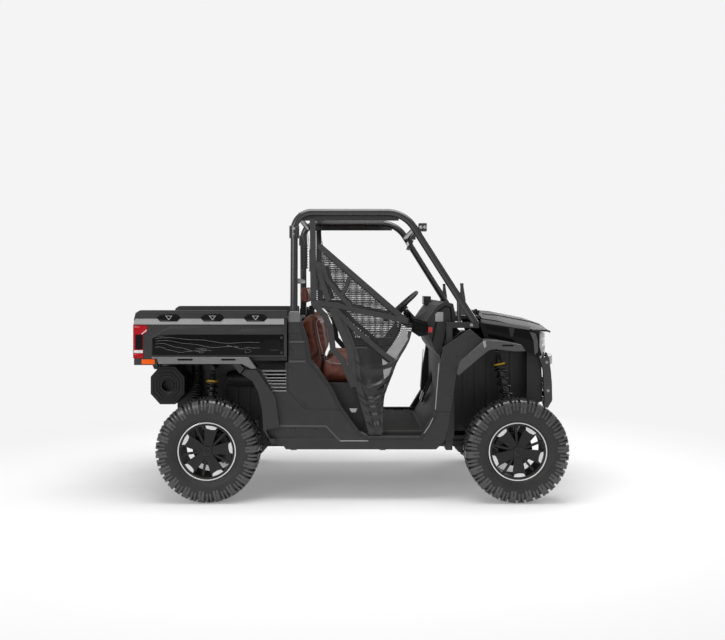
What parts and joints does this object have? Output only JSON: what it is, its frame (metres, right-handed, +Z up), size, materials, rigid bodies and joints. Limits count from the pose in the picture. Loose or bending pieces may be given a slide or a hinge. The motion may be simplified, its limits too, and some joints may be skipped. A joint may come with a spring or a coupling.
{
  "type": "side by side utility vehicle",
  "caption": "Open side by side utility vehicle with a roll cage, bench seats, door nets, steered front wheels, lifting hood and a tipping cargo bed with tailgate.",
  "frame": {"origin": "on the ground, midway along the length and across the width", "axes": "+X forwards, +Y to the vehicle's left, +Z up"},
  "size_m": [2.922, 1.62, 1.96],
  "materials": {
    "frame_paint": "satin",
    "cage_paint": "semi-gloss",
    "body_plastic": "matt charcoal",
    "gloss_body": "gloss black",
    "flare_plastic": "matt grey",
    "floor_plastic": "textured",
    "seat_vinyl": "stitched vinyl",
    "net_mesh": "woven mesh",
    "cast_metal": "as cast",
    "steel": "satin",
    "spring_paint": "gloss",
    "rim_paint": "gloss black, machined accents",
    "tyre_rubber": "matt",
    "lamp_clear": "clear lens",
    "lamp_red": "tinted lens",
    "lamp_amber": "tinted lens",
    "mirror_glass": "polished",
    "duct_plastic": "matt"
  },
  "bodies": {
    "chassis": {"main_frame": "frame_paint", "rear_frame": "frame_paint", "front_frame": "frame_paint", "hitch_receiver": "frame_paint", "skid_plate": "body_plastic", "engine_block": "cast_metal", "drive_cases": "cast_metal", "intake_duct": "duct_plastic", "exhaust_muffler": "steel", "floor_pan": "floor_plastic", "seat_base": "floor_plastic", "seat_cushions": "seat_vinyl", "seat_backs": "seat_vinyl", "dashboard": "body_plastic", "steering_column": "body_plastic", "cage_sides": "cage_paint", "cage_crossbars": "cage_paint", "roof_panel": "body_plastic", "cabin_mirror": "mirror_glass", "side_panels": "body_plastic", "front_fenders": "body_plastic", "front_fascia": "gloss_body", "headlamps": "lamp_clear", "front_bumper": "cage_paint", "door_nets": "net_mesh", "suspension_arms": "frame_paint", "shock_absorbers": "spring_paint", "half_shafts": "steel", "rear_hub_carriers": "cast_metal"},
    "cargo_bed": {"bed_tub": "body_plastic", "bed_sides": "gloss_body", "tail_lamps": "lamp_red", "side_markers": "lamp_amber"},
    "tailgate": {"tailgate": "body_plastic"},
    "hood": {"hood": "body_plastic"},
    "steering_wheel": {"steering_wheel": "body_plastic"},
    "steering_rack": {"steering_rack": "steel"},
    "knuckle_left": {"knuckle_left": "cast_metal"},
    "knuckle_right": {"knuckle_right": "cast_metal"},
    "wheel_front_left": {"tyre_front_left": "tyre_rubber", "rim_front_left": "rim_paint"},
    "wheel_front_right": {"tyre_front_right": "tyre_rubber", "rim_front_right": "rim_paint"},
    "wheel_rear_left": {"tyre_rear_left": "tyre_rubber", "rim_rear_left": "rim_paint"},
    "wheel_rear_right": {"tyre_rear_right": "tyre_rubber", "rim_rear_right": "rim_paint"}
  },
  "joints": [
    {"name": "steer_right", "type": "hinge", "parent": "chassis", "child": "knuckle_right", "pos_m": [1.086, -0.62, 0.343], "axis": [0, 0, 1], "range_deg": [-28, 28]},
    {"name": "steer_left", "type": "hinge", "parent": "chassis", "child": "knuckle_left", "pos_m": [1.086, 0.62, 0.343], "axis": [0, 0, 1], "range_deg": [-28, 28]},
    {"name": "steering_wheel_turn", "type": "hinge", "parent": "chassis", "child": "steering_wheel", "pos_m": [0.374, 0.33, 1.277], "axis": [0.6665, 0, -0.7455], "range_deg": [-225, 225]},
    {"name": "rack_slide", "type": "slide", "parent": "chassis", "child": "steering_rack", "axis": [0, 1, 0], "range_m": [-0.04949, 0.04949]},
    {"name": "bed_tilt", "type": "hinge", "parent": "chassis", "child": "cargo_bed", "pos_m": [-1.4, 0, 0.868], "axis": [0, -1, 0], "range_deg": [0, 45]},
    {"name": "tailgate_drop", "type": "hinge", "parent": "cargo_bed", "child": "tailgate", "pos_m": [-1.448, 0, 0.971], "axis": [0, -1, 0], "range_deg": [0, 90]},
    {"name": "hood_lift", "type": "hinge", "parent": "chassis", "child": "hood", "pos_m": [0.87196, 0, 1.26193], "axis": [0, -1, 0], "range_deg": [0, 60]},
    {"name": "roll_front_left", "type": "hinge", "parent": "knuckle_left", "child": "wheel_front_left", "pos_m": [1.086, 0.695, 0.343], "axis": [0, 1, 0], "continuous": true},
    {"name": "roll_front_right", "type": "hinge", "parent": "knuckle_right", "child": "wheel_front_right", "pos_m": [1.086, -0.695, 0.343], "axis": [0, 1, 0], "continuous": true},
    {"name": "roll_rear_left", "type": "hinge", "parent": "chassis", "child": "wheel_rear_left", "pos_m": [-0.964, 0.67, 0.343], "axis": [0, 1, 0], "continuous": true},
    {"name": "roll_rear_right", "type": "hinge", "parent": "chassis", "child": "wheel_rear_right", "pos_m": [-0.964, -0.67, 0.343], "axis": [0, 1, 0], "continuous": true}
  ],
  "couplings": [
    {"joint": "steer_left", "follows": "steer_right", "ratio": 1},
    {"joint": "steering_wheel_turn", "follows": "steer_right", "ratio": -8},
    {"joint": "rack_slide", "follows": "steer_right", "m_per_rad": -0.10087}
  ]
}
